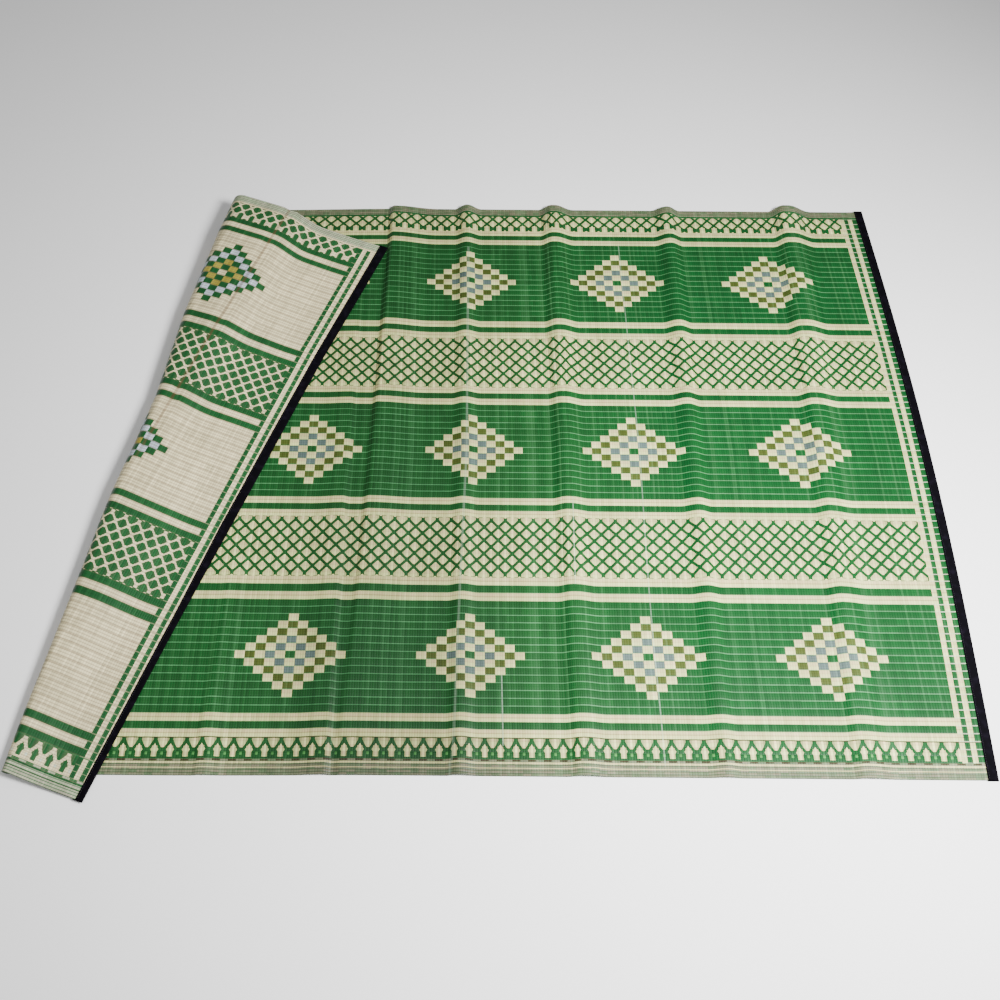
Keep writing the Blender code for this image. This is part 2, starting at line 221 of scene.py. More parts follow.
class RowCurve:
    """One line across the straws: the folded end, the turn and the lower layer"""

    def __init__(self, across):
        self.across = across
        direction = np.array([math.sin(BORDER_TURN), math.cos(BORDER_TURN)])
        sideways = np.array([math.cos(BORDER_TURN), -math.sin(BORDER_TURN)])
        self.border = (BORDER_FOOT + direction * (across - BORDER_FOOT_ACROSS)
                       + sideways * flap_value("shift", across))
        self.turn = flap_value("turn", across)
        self.distances = np.linspace(left_end(across) - FIELD_LEFT, self.turn, PROFILE_STEPS)
        slopes = flap_slope(self.distances, across)
        steps = np.diff(self.distances) * math.cos(FOLD_ANGLE)
        middle = (slopes[1:] + slopes[:-1]) / 2
        runs = np.concatenate([[0], np.cumsum(np.cos(middle) * steps)])
        self.runs = runs - np.interp(0, self.distances, runs)
        rises = np.concatenate([[0], np.cumsum(np.sin(middle) * steps)])
        self.heights = flap_value("edge_height", across) + rises
        self.last_slope = slopes[-1]
        drop = self.heights[-1] - SHEET / 2
        self.radius = drop / (1 + math.cos(self.last_slope))
        self.turn_length = self.radius * (math.pi + self.last_slope) / math.cos(FOLD_ANGLE)
        self.landing = FIELD_LEFT + self.turn + self.turn_length

    def folded_end(self, distance):
        """The folded end rises from its bound edge, with the old crease as a groove"""
        run = np.interp(distance, self.distances, self.runs)
        height = np.interp(distance, self.distances, self.heights)
        groove = smooth((self.across - OLD_CREASE_FROM) / (OLD_CREASE_FULL - OLD_CREASE_FROM))
        groove *= np.exp(-((distance - OLD_CREASE) / OLD_CREASE_REACH) ** 2)
        return self.place(distance, run, height - OLD_CREASE_DEPTH * groove)

    def turned(self, distance):
        """The turn is an arc from the folded end down to the lower layer"""
        turned_by = (distance - self.turn) * math.cos(FOLD_ANGLE) / self.radius
        angle = self.last_slope - turned_by
        run = self.runs[-1] + self.radius * (math.sin(self.last_slope) - np.sin(angle))
        height = self.heights[-1] + self.radius * (np.cos(angle) - math.cos(self.last_slope))
        return self.place(distance, run, height)

    def place(self, distance, run, height):
        """Points by their distance and their level run from the border line"""
        flat = (self.border + np.outer(distance, FOLD_AXIS) * math.sin(FOLD_ANGLE)
                - np.outer(run, FOLD_INWARD))
        return np.column_stack([flat, height])

    def lower(self, along):
        """The lower layer eases from where the turn lands to its unfolded place"""
        landed = self.turned(np.array([self.turn + self.turn_length]))[0]
        tip = self.folded_end(np.array([left_end(self.across) - FIELD_LEFT]))[0]
        in_sight = tip[0] + (self.across - tip[1]) * math.tan(BORDER_TURN)
        ease = 1 - smooth((along - self.landing) / (in_sight - self.landing))
        free_x, free_y = ground_place(along, self.across)
        landing_x, landing_y = ground_place(self.landing, self.across)
        x = free_x + (landed[0] - landing_x) * ease
        y = free_y + (landed[1] - landing_y) * ease
        lift = smooth((along - RIGHT_END + EDGE_LIFT_REACH) / (EDGE_LIFT_REACH - TAPE_WIDTH))
        height = lower_height(x, self.across) + TAPE_INSET * lift
        return np.column_stack([x, y, height])

    def points(self, along):
        """X, Y and Z of places along the woven length, whichever part they lie on"""
        along = np.asarray(along, dtype=float)
        distance = along - FIELD_LEFT
        result = np.empty((len(along), 3))
        on_end = distance <= self.turn
        on_floor = along >= self.landing
        on_turn = ~on_end & ~on_floor
        result[on_end] = self.folded_end(distance[on_end])
        result[on_turn] = self.turned(distance[on_turn])
        result[on_floor] = self.lower(along[on_floor])
        return result


# Where a line of points along the mat is divided: the steps up to each mark
LEAST_STATION_STEP = 0.0015
TAPED_STEPS, FLAP_STEPS, TURN_STEPS, END_STEPS = 3, 21, 20, 8
RIDGE_STEPS = (5, 4, 2, 5)


def panel_stations(curve):
    """Places of one line's points along the woven length, closest where it bends"""
    across = curve.across
    start = left_end(across) + TAPE_INSET
    marks = [(start + TAPE_WIDTH, TAPED_STEPS), (FIELD_LEFT + curve.turn, FLAP_STEPS),
             (curve.landing, TURN_STEPS)]
    for ridge in RIDGES:
        crest_x = crest_of(ridge, across)
        crest = 2 * crest_x - ground_place(crest_x, across)[0]
        crown = crest + crown_of(ridge, across)
        ends = (crest - ridge.left, crest, crown, crown + ridge.right)
        marks += zip(ends, RIDGE_STEPS)
    marks += [(RIGHT_END - TAPE_WIDTH, END_STEPS), (RIGHT_END - TAPE_INSET, TAPED_STEPS)]
    stations, reached = [np.array([start])], start
    for end, steps in marks:
        end = max(end, reached + steps * LEAST_STATION_STEP)
        stations.append(np.linspace(reached, end, steps + 1)[1:])
        reached = end
    return np.concatenate(stations)


def unit(vectors):
    return vectors / np.linalg.norm(vectors, axis=-1, keepdims=True)


def grid_normals(grid):
    """Directions square to a grid, upwards where its lines run to the right"""
    return unit(np.cross(np.gradient(grid, axis=1), np.gradient(grid, axis=0)))


def sheet_mesh(name, top, bottom, measures, materials):
    """A closed sheet between two grids of points, with its flat measures as a UV map"""
    lines, stations = top.shape[:2]
    count = lines * stations
    number = np.arange(count).reshape(lines, stations)
    first, second = number[:-1, :-1].ravel(), number[:-1, 1:].ravel()
    third, fourth = number[1:, 1:].ravel(), number[1:, :-1].ravel()
    upper = np.column_stack([first, second, third, fourth])
    under = np.column_stack([fourth, third, second, first]) + count
    edge = np.concatenate([number[0, :], number[1:, -1], number[-1, -2::-1], number[-2:0:-1, 0]])
    after = np.roll(edge, -1)
    rim = np.column_stack([after, edge, edge + count, after + count])
    faces = np.concatenate([upper, under, rim])
    mesh = bpy.data.meshes.new(name)
    points = np.concatenate([top.reshape(-1, 3), bottom.reshape(-1, 3)])
    mesh.from_pydata(points.tolist(), [], faces.tolist())
    for material in materials:
        mesh.materials.append(material)
    side = np.zeros(len(faces), dtype=np.int32)
    side[len(upper):len(upper) + len(under)] = len(materials) - 1
    mesh.polygons.foreach_set("material_index", side)
    mesh.polygons.foreach_set("use_smooth", np.arange(len(faces)) < len(upper) + len(under))
    layer = mesh.uv_layers.new(name="weave")
    flat = np.tile(measures.reshape(-1, 2), (2, 1))
    layer.data.foreach_set("uv", flat[faces.ravel()].ravel())
    mesh.update()
    return mesh


def colour(red, green, blue):
    """A colour given as it looks on a screen, 0 to 255, as Blender's materials take it"""
    return tuple((part / 255) ** 2.2 for part in (red, green, blue)) + (1.0,)


def add_sockets(group, way, kind, *names):
    for name in names:
        group.interface.new_socket(name=name, in_out=way, socket_type="NodeSocket" + kind)


def feed(tree, port, value):
    """Join a node's input to a number or a socket, or set it to a plain value"""
    if isinstance(value, Number):
        tree.links.new(value.socket, port)
    elif isinstance(value, bpy.types.NodeSocket):
        tree.links.new(value, port)
    else:
        port.default_value = value


class Number:
    """A number that a node tree works out at each point. A choice is 1 or 0, and of two
    choices * means both and | means either."""

    def __init__(self, tree, socket):
        self.tree, self.socket = tree, socket

    def by(self, operation, *others):
        node = self.tree.nodes.new("ShaderNodeMath")
        node.operation = operation
        for port, value in zip(node.inputs, (self, *others)):
            feed(self.tree, port, value)
        return Number(self.tree, node.outputs[0])

    def __add__(self, other):
        return self.by("ADD", other)

    def __sub__(self, other):
        return self.by("SUBTRACT", other)

    def __rsub__(self, other):
        return self * -1.0 + other

    def __mul__(self, other):
        return self.by("MULTIPLY", other)

    def __truediv__(self, other):
        return self.by("DIVIDE", other)

    def __mod__(self, other):
        return self.by("FLOORED_MODULO", other)

    def __gt__(self, other):
        return self.by("GREATER_THAN", other)

    def __lt__(self, other):
        return self.by("LESS_THAN", other)

    def __or__(self, other):
        return self.by("MAXIMUM", other)

    def __abs__(self):
        return self.by("ABSOLUTE")

    def floor(self):
        return self.by("FLOOR")

    def inverse(self):
        return 1.0 - self

    def arch(self):
        """1 at the middle of a straw or a cord, 0 at its edges half a width away"""
        return self * self * -4.0 + 1.0

    def equals(self, whole):
        """1 where it is this whole number, else 0"""
        return self.by("COMPARE", whole, 0.5)

    def spans(self, first, stop):
        """1 for whole numbers from the first up to the one before the stop, else 0"""
        return (self > first - 0.5) * (self < stop - 0.5)

    def ease(self, start, end):
        """0 up to the start, 1 from the end on"""
        node = self.tree.nodes.new("ShaderNodeMapRange")
        node.interpolation_type = "SMOOTHSTEP"
        feed(self.tree, node.inputs["Value"], self)
        node.inputs["From Min"].default_value = start
        node.inputs["From Max"].default_value = end
        return Number(self.tree, node.outputs["Result"])


# Where a Mix node has its sockets: the factor, then the pair and the result of each kind
MIX_FACTOR, MIX_NUMBERS, MIXED_NUMBER, MIX_COLOURS, MIXED_COLOUR = 0, (2, 3), 0, (6, 7), 2


def pick(chosen, yes, no):
    """The first number where the choice is 1, and the second where it is 0"""
    node = chosen.tree.nodes.new("ShaderNodeMix")
    for port, value in zip((MIX_FACTOR, *MIX_NUMBERS), (chosen, no, yes)):
        feed(chosen.tree, node.inputs[port], value)
    return Number(chosen.tree, node.outputs[MIXED_NUMBER])


def mix_colours(tree, share, first, second, blend="MIX"):
    node = tree.nodes.new("ShaderNodeMix")
    node.data_type = "RGBA"
    node.blend_type = blend
    for port, value in zip((MIX_FACTOR, *MIX_COLOURS), (share, first, second)):
        feed(tree, node.inputs[port], value)
    return node.outputs[MIXED_COLOUR]


def new_material(name, roughness, specular):
    """A new material with its node tree and its shader"""
    material = bpy.data.materials.new(name)
    material.use_nodes = True
    shader = material.node_tree.nodes["Principled BSDF"]
    shader.inputs["Roughness"].default_value = roughness
    shader.inputs["Specular IOR Level"].default_value = specular
    return material, material.node_tree, shader


def weave_places(tree):
    weave = tree.nodes.new("ShaderNodeUVMap")
    weave.uv_map = "weave"
    return weave.outputs["UV"]


def add_bump(tree, shader, height, strength, depth):
    bump = tree.nodes.new("ShaderNodeBump")
    bump.inputs["Strength"].default_value = strength
    bump.inputs["Distance"].default_value = depth
    tree.links.new(height.socket, bump.inputs["Height"])
    tree.links.new(bump.outputs["Normal"], shader.inputs["Normal"])


# The woven chart, in straws and rows. Thirty rows repeat: three stripes, fifteen rows of
# field with diamonds, three stripes, nine rows of lattice. Each yarn has a number, and
# each side of the cloth shows it in its own colour.
GROUND, LIGHT, BLUE, OLIVE, DOT, SELVEDGE, LINE = range(7)
REPEAT_ROWS, DARK_STRIPE, FIELD_START, FIELD_STOP, LATTICE_START = 30, 1, 3, 18, 21
FIRST_BORDER_ROW, BACK_LINE_ROW = 2, 89
BAND_STRAWS, BANDS = 2, 4
DIAMOND_STRAWS, DIAMOND_CENTRE, DIAMOND_ROW, DIAMOND_RINGS = 72, 70, 10, 5
CHECK_STRAWS, DIAMONDS_FROM, FRONT_DIAMONDS_FROM = 4, 40, 100
LATTICE_STRAWS, LATTICE_SHIFT = 6, 3
HALF_LATTICE = LATTICE_STRAWS / 2
# Half widths in straws and heights in rows of the stars, the pillars under the far border,
# and the front border's stems, heads, hung blossoms and dots
STAR_TIP, STAR_HALF, END_STAR_REACH, PILLAR_HALF = 0.64, 2.25, 0.43, 1.25
STEM_HEIGHT, STEM_REACH, STEM_HALF = 1.05, 0.79, 1.0
HEAD_HEIGHT, HEAD_TAPER, HEAD_HALF = 1.3, 1.8, 1.55
HANG_TAPER, HANG_TIP, HANG_LOW, HANG_HALF = 0.6, 1.3, 1.62, 2.2
DOT_HEIGHT, DOT_REACH = 0.75, 0.22
CENTRE_LIT, STAR_FADE, BLOSSOM_FADE = 1.14, 0.13, 0.26
# Lines along the borders, by their row and how far up in it they start, from -0.5 to 0.5
STRIPE_LINE_FROM, DASH_LINE_FROM, DASH_HALF = 0.36, 0.3, 1.5
EDGING_ROWS, EDGING_FROM = (0, -2), (-0.2, 0.15)
# Odd straws that are paler, and painted highlights on the crests of two old folds: a slanting line,
# and straw 258 in rows 25 to 37
PaleStraw = namedtuple("PaleStraw", "straw share from_row to_row")
PALE_STRAWS = (PaleStraw(288, 0.22, 0, 82), PaleStraw(288, 0.30, 0, 20),
               PaleStraw(226, 0.45, 4, 12), PaleStraw(258, 0.35, 25, 37))
PALE_WIDTH, CREST_WIDTH = (0.18, 0.36), (0.2, 0.9)
CREST_START, CREST_RUN, CREST_BEND, CREST_HIGHLIGHT_SHARE, CREST_UNTIL = 205.8, 7.8, 0.6, 0.22, 82
Chart = namedtuple("Chart", "yarn straw row straw_side row_side band stripe lattice lit fade pale")


class Place:
    """A point's straw and row, its side of their middles, and its step in the repeat"""

    def __init__(self, tree, along, across):
        self.along, self.across = Number(tree, along), Number(tree, across)
        self.straw, self.row = self.along.floor(), self.across.floor()
        self.straw_side = self.along - self.straw - 0.5
        self.row_side = self.across - self.row - 0.5
        self.step = (self.row - FIRST_BODY_ROW) % REPEAT_ROWS
        self.body = self.row.spans(FIRST_BODY_ROW, END_BODY_ROW)
        column = (self.straw + LATTICE_SHIFT) % LATTICE_STRAWS
        self.near = column.by("MINIMUM", LATTICE_STRAWS - column)
        shifted = self.along + (LATTICE_SHIFT + HALF_LATTICE - 0.5)
        self.near_side = abs(shifted % LATTICE_STRAWS - HALF_LATTICE)


def diamond_yarn(place):
    """Checks in rings about each centre: ground, light, blue, light, olive, light"""
    half = DIAMOND_STRAWS / 2
    from_centre = (place.along - DIAMOND_CENTRE + half) % DIAMOND_STRAWS - half
    ring = abs((from_centre / CHECK_STRAWS + 0.5).floor()) + abs(place.step - DIAMOND_ROW)
    ring_yarn = pick(ring > 3.0, OLIVE, pick(ring > 1.0, BLUE, GROUND))
    ring_yarn = pick(ring % 2.0, LIGHT, ring_yarn)
    first = pick(place.row < FIRST_BODY_ROW + FIELD_STOP, FRONT_DIAMONDS_FROM, DIAMONDS_FROM)
    return pick((ring < DIAMOND_RINGS + 0.5) * (place.along > first), ring_yarn, GROUND)


def lattice_stars(place, star_reach):
    """Stars in rows, each row's between the next one's, and how far a point is from one"""
    aside = (place.step % 2.0).inverse() * HALF_LATTICE
    own, own_side = (pick(place.body, gap, HALF_LATTICE - gap)
                     for gap in (abs(aside - place.near), abs(aside - place.near_side)))
    other, other_side = HALF_LATTICE - own, HALF_LATTICE - own_side
    reach, spill = ((gap * (-1 / HALF_LATTICE) + star_reach).by("MINIMUM", STAR_TIP)
                    for gap in (own_side, other_side))
    from_row = abs(place.row_side)
    spilled = (other_side < STAR_HALF) * (from_row > 1.0 - spill)
    first_row = place.step.equals(LATTICE_START) * (place.row_side < reach)
    last_row = place.step.equals(REPEAT_ROWS - 1) * (place.row_side * -1.0 < reach)
    cut_off = (first_row | last_row) * place.body * (from_row < END_STAR_REACH)
    star = (own_side < STAR_HALF) * ((from_row < reach) | cut_off)
    star = pick(place.row.equals(END_BODY_ROW), own_side < PILLAR_HALF, star)
    return star | spilled, pick(spilled, other, own)


def border_blossoms(place):
    """Blossoms on stems, others hung between them, dots below, and how far a point is from one"""
    raised = place.across - FIRST_BORDER_ROW
    stem = (place.near_side < STEM_HALF) * (abs(raised - STEM_HEIGHT) < STEM_REACH)
    head = abs(raised - HEAD_HEIGHT) * HEAD_TAPER < HEAD_HALF - place.near_side
    between, between_side = HALF_LATTICE - place.near, HALF_LATTICE - place.near_side
    hung = ((raised > between_side * HANG_TAPER + HANG_TIP) * (raised > HANG_LOW)
            * (between_side < HANG_HALF))
    dot = (place.near > HALF_LATTICE - 0.5) * (abs(raised - DOT_HEIGHT) < DOT_REACH)
    return stem | head | hung, dot, pick(hung, between, place.near)


def end_bands(place):
    """Light and ground bands beside each tape: where they are, and their yarn"""
    tucked = place.across.ease(row_of(TUCKS_NEAR_ACROSS), row_of(TUCKS_FAR_ACROSS)) * TUCKS_FAR[-1]
    past_right = place.along - tucked - FIELD_RIGHT / STRAW
    past_end = past_right.by("MAXIMUM", FIELD_LEFT / STRAW - place.along)
    band = (past_end / BAND_STRAWS).floor().by("MINIMUM", BANDS - 1)
    return past_end > 0.0, pick(band % 2.0, GROUND, LIGHT)


def pale_share(place):
    """How pale a place is: painted highlights on two old folds' crests, and odd pale straws"""
    # Painted highlight along the crest of one old fold, slanting across the straws
    crest = (place.row * (1 / LAST_ROW)).by("MAXIMUM", 0.0).by("POWER", CREST_BEND) * CREST_RUN
    crest_highlight = abs(place.along - crest - CREST_START).ease(*CREST_WIDTH).inverse()
    pale = crest_highlight * (place.row < CREST_UNTIL) * CREST_HIGHLIGHT_SHARE
    for odd in PALE_STRAWS:
        shown = abs(place.along - odd.straw - 0.5).ease(*PALE_WIDTH).inverse()
        pale = pale | shown * place.row.spans(odd.from_row, odd.to_row + 1) * odd.share
    return pale


def chart_group():
    """The chart as a node group: from a place in the weave to its yarn and its marks"""
    tree = bpy.data.node_groups.new("woven_chart", "ShaderNodeTree")
    add_sockets(tree, "INPUT", "Vector", "Weave")
    add_sockets(tree, "INPUT", "Float", "Star reach")
    add_sockets(tree, "OUTPUT", "Float", *Chart._fields)
    inlet, outlet = tree.nodes.new("NodeGroupInput"), tree.nodes.new("NodeGroupOutput")
    parts = tree.nodes.new("ShaderNodeSeparateXYZ")
    tree.links.new(inlet.outputs["Weave"], parts.inputs[0])
    place = Place(tree, parts.outputs["X"], parts.outputs["Y"])
    row, row_side, step = place.row, place.row_side, place.step

    stripe = step.spans(0, FIELD_START) | step.spans(FIELD_STOP, LATTICE_START)
    field = step.spans(FIELD_START, FIELD_STOP)
    border = row.spans(FIRST_BORDER_ROW, FIRST_BODY_ROW)
    patterned = row.spans(FIRST_BORDER_ROW, BACK_LINE_ROW)
    star, from_star = lattice_stars(place, Number(tree, inlet.outputs["Star reach"]))
    blossom, dot, from_blossom = border_blossoms(place)
    lattice_yarn = pick(border, blossom, star)
    past_end, band_yarn = end_bands(place)
    in_band = past_end * patterned

    yarn = pick(place.body * field, diamond_yarn(place), lattice_yarn)
    yarn = pick(border * dot, DOT, yarn)
    stripe_yarn = pick((step % FIELD_STOP).equals(DARK_STRIPE), GROUND, LIGHT)
    yarn = pick(place.body * stripe, stripe_yarn, yarn)
    yarn = pick(in_band, band_yarn, yarn)
    yarn = pick(row.equals(FIRST_BODY_ROW - 1) * (row_side > STRIPE_LINE_FROM), LINE, yarn)
    yarn = pick(row.equals(BACK_LINE_ROW), GROUND, yarn)
    yarn = pick(row.spans(FIRST_BORDER_ROW, BACK_LINE_ROW + 1), yarn, SELVEDGE)
    dashes = (row_side > DASH_LINE_FROM) | (place.near < DASH_HALF)
    yarn = pick(row.equals(FIRST_BORDER_ROW - 1) * dashes, LINE, yarn)
    for edging_row, edging_from in zip(EDGING_ROWS, EDGING_FROM):
        yarn = pick(row.equals(edging_row) * (row_side > edging_from), LIGHT, yarn)

    lattice = patterned * (stripe | field).inverse()
    starry = lattice * lattice_yarn * in_band.inverse()
    from_centre = pick(border, from_blossom, from_star)
    lit = pick(starry * (from_centre < 0.5), CENTRE_LIT, 1.0)
    fade = starry * from_centre * pick(border, BLOSSOM_FADE, STAR_FADE)
    chart = Chart(yarn, place.straw, row, place.straw_side, row_side, in_band,
                  place.body * stripe, lattice, lit, fade, pale_share(place))
    for name, value in chart._asdict().items():
        tree.links.new(value.socket, outlet.inputs[name])
    return tree


WEAVE_CHART = chart_group()

# Colours: of each yarn on each side, of the line at each row's edge, which is the warp thread on
# the face and painted shade in the groove between rows on the reverse, of the dashes in the end
# bands, the selvedge's patches and line, and the few streaked straws
Side = namedtuple("Side", "name star_reach fade_share colours thread thread_share thread_from "
                          "dash dash_share dash_from edge_patch edge_line streak streak_share")
FACE = Side(
    name="woven_face", star_reach=0.725, fade_share=1.0,
    colours=(colour(24, 73, 34), colour(196, 198, 132), colour(82, 98, 94), colour(68, 80, 34),
             colour(70, 128, 66), colour(86, 104, 74), colour(60, 56, 38)),
    thread=colour(80, 144, 92), thread_share=0.64, thread_from=0.395,
    dash=colour(190, 200, 168), dash_share=0.6, dash_from=0.44,
    edge_patch=colour(118, 114, 92), edge_line=colour(62, 82, 56),
    streak=colour(104, 148, 108), streak_share=0.07)
# On this side the thread colour is painted shade in the groove at each row's edge, and also marks
# each row's middle
REVERSE = Side(
    name="woven_reverse", star_reach=0.83, fade_share=0.15,
    colours=(colour(214, 203, 160), colour(26, 76, 40), colour(150, 140, 56),
             colour(176, 188, 196), colour(196, 206, 180), colour(162, 176, 142),
             colour(40, 96, 56)),
    thread=colour(134, 112, 90), thread_share=0.62, thread_from=0.36,
    dash=colour(160, 170, 130), dash_share=0.4, dash_from=0.45,
    edge_patch=colour(168, 164, 142), edge_line=colour(52, 100, 62),
    streak=colour(200, 196, 172), streak_share=0.012)
# Colour of the odd pale straws and of the painted highlights on the old folds' crests
CREST_HIGHLIGHT_AND_PALE_STRAW, STREAK_POWER = colour(168, 196, 168), 6.0
# Pinker light yarn, deeper green to the right, a painted shade over part of the face, and painted
# shade along the old crease
PINK_CREAM, UPPER_HALF, PINK_LEAST, PINK_SPREAD = colour(190, 168, 128), (-0.06, 0.06), 0.25, 0.5
DEEP_GREEN, DEEP_STRAWS, DEEP_FALL = colour(5, 72, 32), (220, 330), 0.7
SHADED_STRAWS, CLEAR_STRAWS, SHADED_SHARE, SHADED_FALL = (110, 162), (196, 258), 0.50, 0.75
OLD_CREASE_STRAW, OLD_CREASE_ROWS = (FIELD_LEFT + OLD_CREASE) / STRAW, (38.0, 48.0)
OLD_CREASE_SHADE, OLD_CREASE_WIDTH, OLD_CREASE_SHADE_SHARE = colour(104, 66, 50), (0.1, 1.1), 0.4
# The line at each row's edge, the warp thread on the face and painted groove shade on the reverse:
# its strength at least, more on each second row, by chance, less on light yarn
THREAD_LEAST, THREAD_SECOND_ROW, THREAD_CHANCE, THREAD_LOSS = 0.5, 0.3, 0.3, 0.75
THREAD_EASE = 0.05
# Marks by their distance from the middle of a row or a straw, 0 to 0.5, and their strength; the
# dark marks beside each row's edge and at the straws' edges are painted shade in the grooves
SEAM, SEAM_SHARE, SEAM_BROWN = (0.05, 0.10), 0.35, colour(120, 92, 62)
SEAM_SHADE, SEAM_DARK = (0.03, 0.07), 0.14
EDGE_LINE, EDGE_LINE_SHARE = (0.26, 0.40), 0.8
BESIDE_THREAD, THREAD_START, GROOVE_SHADE = (0.28, 0.34), (0.40, 0.44), 0.30
STRAW_GAP, STRAW_GAP_SHADE = (0.34, 0.50), 0.24
PINCH, PINCH_DEPTH = (0.30, 0.50), 0.6
STRAW_BUMP, STRAW_DEPTH = 0.5, 0.0008
STRAW_ROUGHNESS, STRAW_SPECULAR = 0.45, 0.25
# Random tones: for each straw, each knot, runs of about 14 straws and patches of 3. Their
# scales are along and across the straws, and the first three also have a spread and a least
Tones = namedtuple("Tones", "straw knot run patch")
TONE_SCALES = Tones(straw=(1.0, 0.0), knot=(1.0, 1.0), run=(0.07, 1.0), patch=(0.33, 1.0))
TONE_SPREADS = ((0.24, 0.86), (0.18, 0.91), (0.20, 0.90))


def random_tone(tree, chart, scale):
    """A random number from 0 to 1 that changes with the straws and rows counted"""
    per_straw, per_row = scale
    counted = tree.nodes.new("ShaderNodeCombineXYZ")
    feed(tree, counted.inputs["X"], (chart.straw * per_straw).floor())
    feed(tree, counted.inputs["Y"], chart.row * per_row)
    noise = tree.nodes.new("ShaderNodeTexWhiteNoise")
    noise.noise_dimensions = "2D"
    tree.links.new(counted.outputs[0], noise.inputs["Vector"])
    return Number(tree, noise.outputs["Value"])


def yarn_colours(tree, side, chart):
    ramp = tree.nodes.new("ShaderNodeValToRGB")
    ramp.color_ramp.interpolation = "CONSTANT"
    elements, count = ramp.color_ramp.elements, len(side.colours)
    elements.remove(elements[1])
    for number, shade in enumerate(side.colours):
        element = elements.new(number / count) if number else elements[0]
        element.position = number / count
        element.color = shade
    feed(tree, ramp.inputs["Fac"], (chart.yarn + 0.5) * (1 / count))
    return ramp.outputs["Color"]


def coloured_weave(tree, side, chart, tones):
    """Colour of the weave: its yarns, then threads (painted groove shade on the reverse), lines,
    patches, painted shade along the old crease, pale straws and painted crest highlights
    """
    from_row = abs(chart.row_side)
    light, edge = chart.yarn.equals(LIGHT), chart.yarn.equals(SELVEDGE)
    seam = from_row.ease(*SEAM).inverse() * SEAM_SHARE
    coloured = yarn_colours(tree, side, chart)
    if side is FACE:
        pink = light * chart.row_side.ease(*UPPER_HALF) * (tones.knot * PINK_SPREAD + PINK_LEAST)
        coloured = mix_colours(tree, pink, coloured, PINK_CREAM)
        coloured = mix_colours(tree, chart.stripe * light * seam, coloured, SEAM_BROWN)
        deep = chart.straw.ease(*DEEP_STRAWS) * (chart.row * (-DEEP_FALL / LAST_ROW) + 1.0)
        coloured = mix_colours(tree, deep * chart.yarn.equals(GROUND), coloured, DEEP_GREEN)
    else:
        coloured = mix_colours(tree, light.inverse() * seam, coloured, side.thread)
    coloured = mix_colours(tree, edge * tones.patch, coloured, side.edge_patch)
    edge_line = edge * from_row.ease(*EDGE_LINE) * EDGE_LINE_SHARE
    coloured = mix_colours(tree, edge_line, coloured, side.edge_line)
    coloured = mix_colours(tree, chart.fade * side.fade_share, coloured, side.colours[GROUND])
    # The line at each row's edge: the warp thread on the face, painted groove shade on the reverse
    thread = from_row.ease(side.thread_from, side.thread_from + THREAD_EASE)
    second_row = (chart.row % 2.0) * THREAD_SECOND_ROW + THREAD_LEAST
    thread = thread * (tones.run * THREAD_CHANCE + second_row)
    thread = thread * (light * THREAD_LOSS).inverse() * (edge | chart.lattice).inverse()
    coloured = mix_colours(tree, thread * side.thread_share, coloured, side.thread)
    dash = chart.band * (from_row > side.dash_from) * side.dash_share
    coloured = mix_colours(tree, dash, coloured, side.dash)
    # Odd pale straws and painted highlights on the old folds' crests
    coloured = mix_colours(tree, chart.pale, coloured, CREST_HIGHLIGHT_AND_PALE_STRAW)
    streaked = tones.straw.by("POWER", STREAK_POWER) * side.streak_share
    coloured = mix_colours(tree, streaked, coloured, side.streak)
    if side is REVERSE:
        # Painted shade along the old crease, from row 38 on
        from_crease = abs(chart.straw + chart.straw_side - OLD_CREASE_STRAW)
        worn = from_crease.ease(*OLD_CREASE_WIDTH).inverse() * chart.row.ease(*OLD_CREASE_ROWS)
        coloured = mix_colours(tree, worn * OLD_CREASE_SHADE_SHARE, coloured, OLD_CREASE_SHADE)
    return coloured


def weave_tone(side, chart, tones):
    """Lightness of the weave: random tones, with painted shade in the gaps between straws, beside
    each row's edge and over a broad part of the face
    """
    from_row = abs(chart.row_side)
    tone = chart.lit
    for drawn, (spread, least) in zip(tones, TONE_SPREADS):
        tone = tone * (drawn * spread + least)
    if side is FACE:
        # Painted shade over straws 110 to 258, weaker towards the far side
        shaded = chart.straw.ease(*SHADED_STRAWS) * chart.straw.ease(*CLEAR_STRAWS).inverse()
        shaded = shaded * (chart.row * (-SHADED_FALL / LAST_ROW) + 1.0)
        tone = tone * (shaded * SHADED_SHARE).inverse()
    # Painted shade at each straw's edges, in the gaps between straws
    gap = abs(chart.straw_side).ease(*STRAW_GAP)
    # Painted shade in the groove just inside each row's edge, on all but the light yarn
    beside = from_row.ease(*BESIDE_THREAD) * from_row.ease(*THREAD_START).inverse()
    beside = beside * chart.yarn.equals(LIGHT).inverse()
    seam = from_row.ease(*SEAM_SHADE).inverse()
    for mark, dark in ((gap, STRAW_GAP_SHADE), (beside, GROOVE_SHADE), (seam, SEAM_DARK)):
        tone = tone * (mark * dark).inverse()
    return tone


